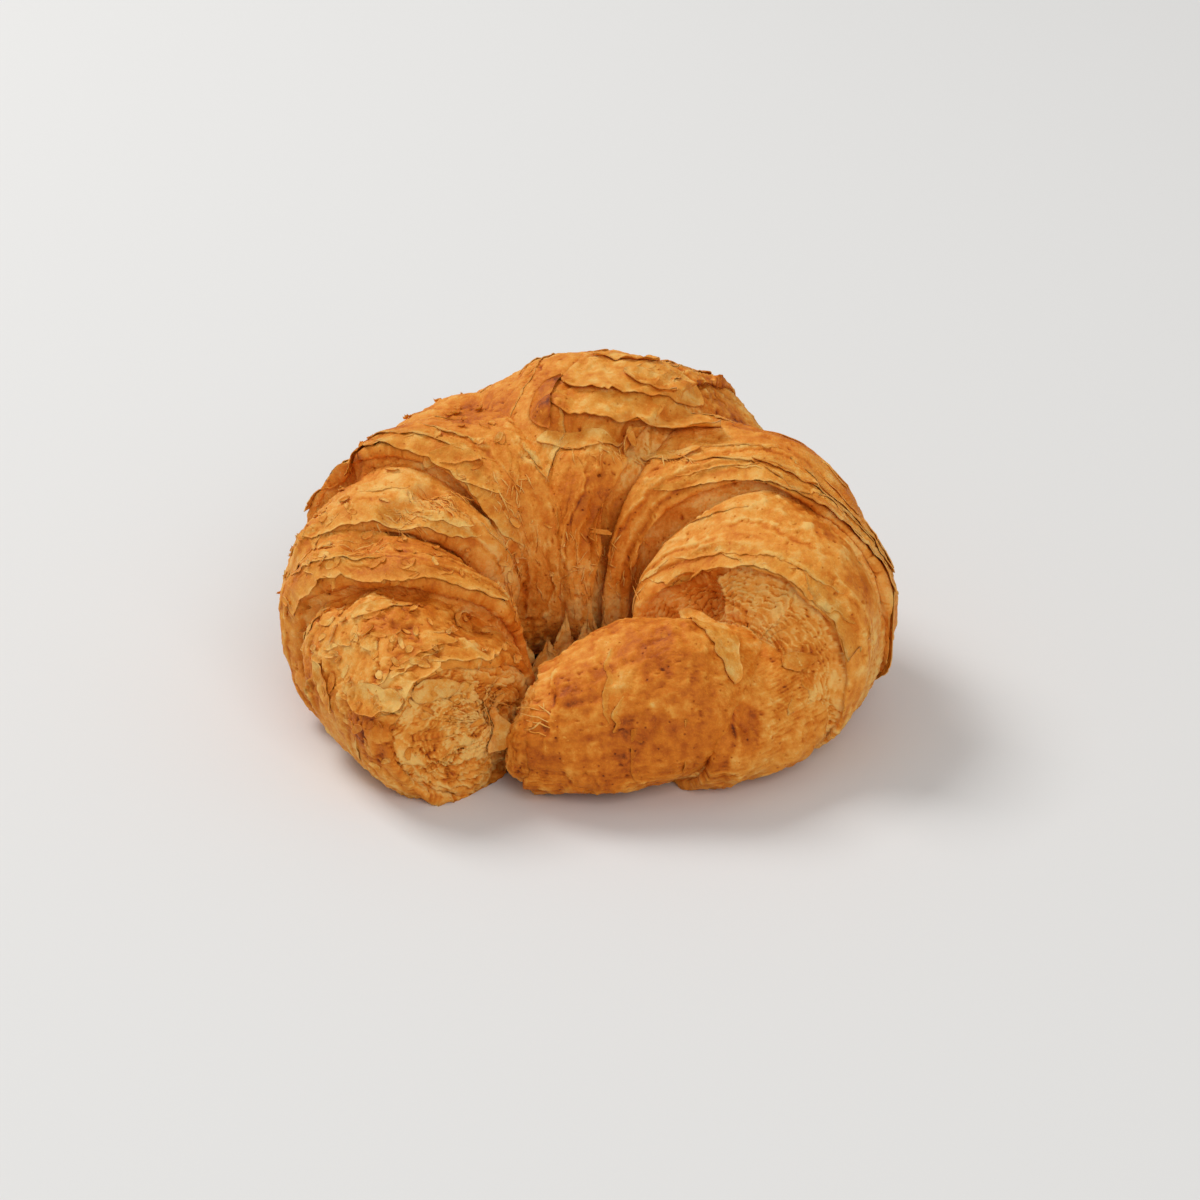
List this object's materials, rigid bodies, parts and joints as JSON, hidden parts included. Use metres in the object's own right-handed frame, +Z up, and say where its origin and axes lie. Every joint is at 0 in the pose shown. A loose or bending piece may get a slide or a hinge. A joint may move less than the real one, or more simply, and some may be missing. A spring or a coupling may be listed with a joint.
{
  "type": "croissant",
  "caption": "Baked croissant of rolled, layered dough, curled into a ring whose thin end tucks behind the other, resting flat.",
  "frame": {"origin": "on the flat underside's plane, below the middle of the croissant's bounding box", "axes": "+X to the right across the ring, +Y from the two meeting ends to the fat back, +Z up"},
  "size_m": [0.139, 0.1342, 0.0668],
  "materials": {
    "crust": "golden to caramel brown baked crust, flaky and mostly matte, with pale dough in the tears"
  },
  "bodies": {
    "root": {"croissant": "crust"}
  },
  "joints": []
}
